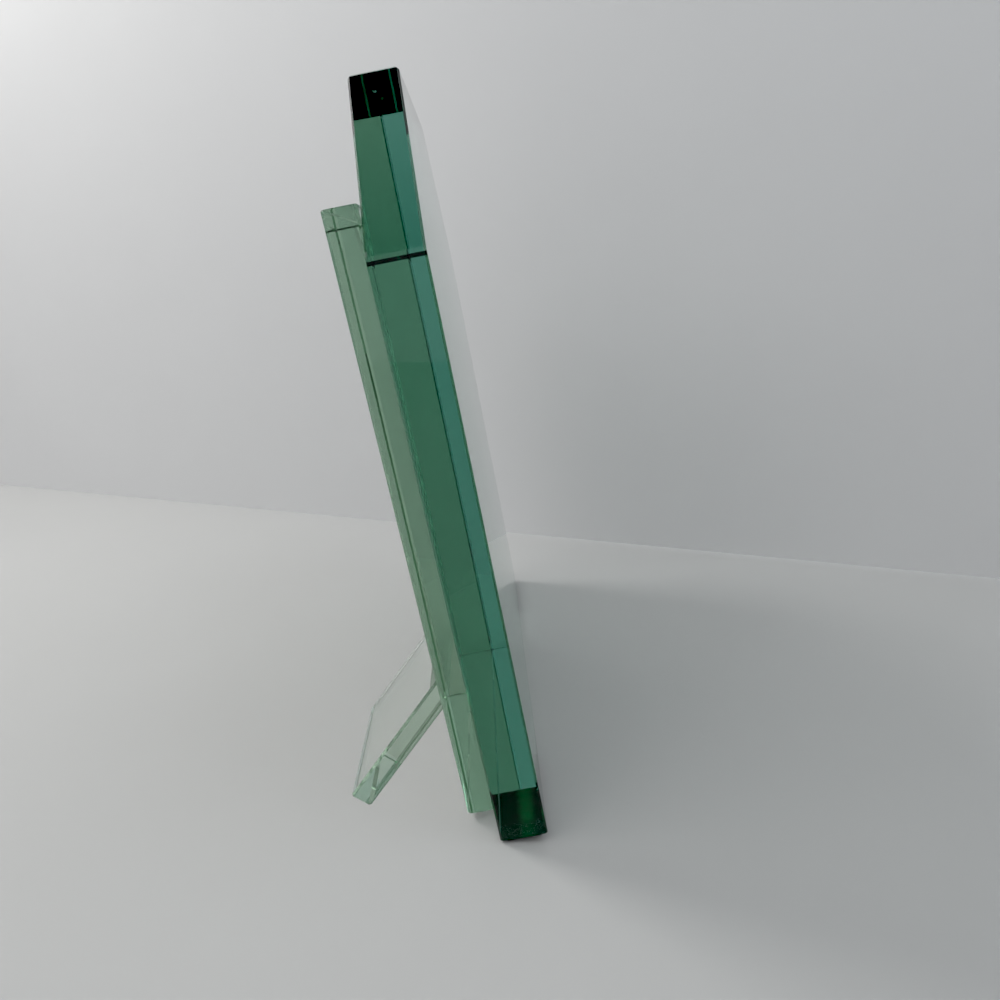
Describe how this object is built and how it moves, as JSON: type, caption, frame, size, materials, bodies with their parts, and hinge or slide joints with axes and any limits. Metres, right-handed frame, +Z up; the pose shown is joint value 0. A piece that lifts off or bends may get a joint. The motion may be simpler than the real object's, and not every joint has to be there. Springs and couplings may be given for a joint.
{
  "type": "glass photo display",
  "caption": "Free-standing glass display: a thick front plate with cut top corners, a thinner rear plate and a slanted glass leg bonded behind.",
  "frame": {"origin": "on the floor, in the middle of the footprint: halfway along the front plate's width and halfway from its front foot to the leg's heel", "axes": "+Z up, +X along the width to the right of somebody who faces the display, +Y to the back, where the leg is"},
  "size_m": [0.254, 0.0804, 0.2861],
  "materials": {
    "front_glass": "polished float glass, deep green through its edge",
    "rear_glass": "polished float glass, green through its edge",
    "leg_glass": "polished float glass, pale green",
    "bond": "clear set adhesive",
    "pad": "matt, dark"
  },
  "bodies": {
    "root": {"front_glass": "front_glass", "rear_glass": "rear_glass", "easel_leg": "leg_glass", "leg_bond": "bond", "bond_dot_top_left": "bond", "bond_dot_top_right": "bond", "bond_dot_low_left": "bond", "bond_dot_low_right": "bond", "foot_pad_left": "pad", "foot_pad_right": "pad"}
  },
  "joints": []
}
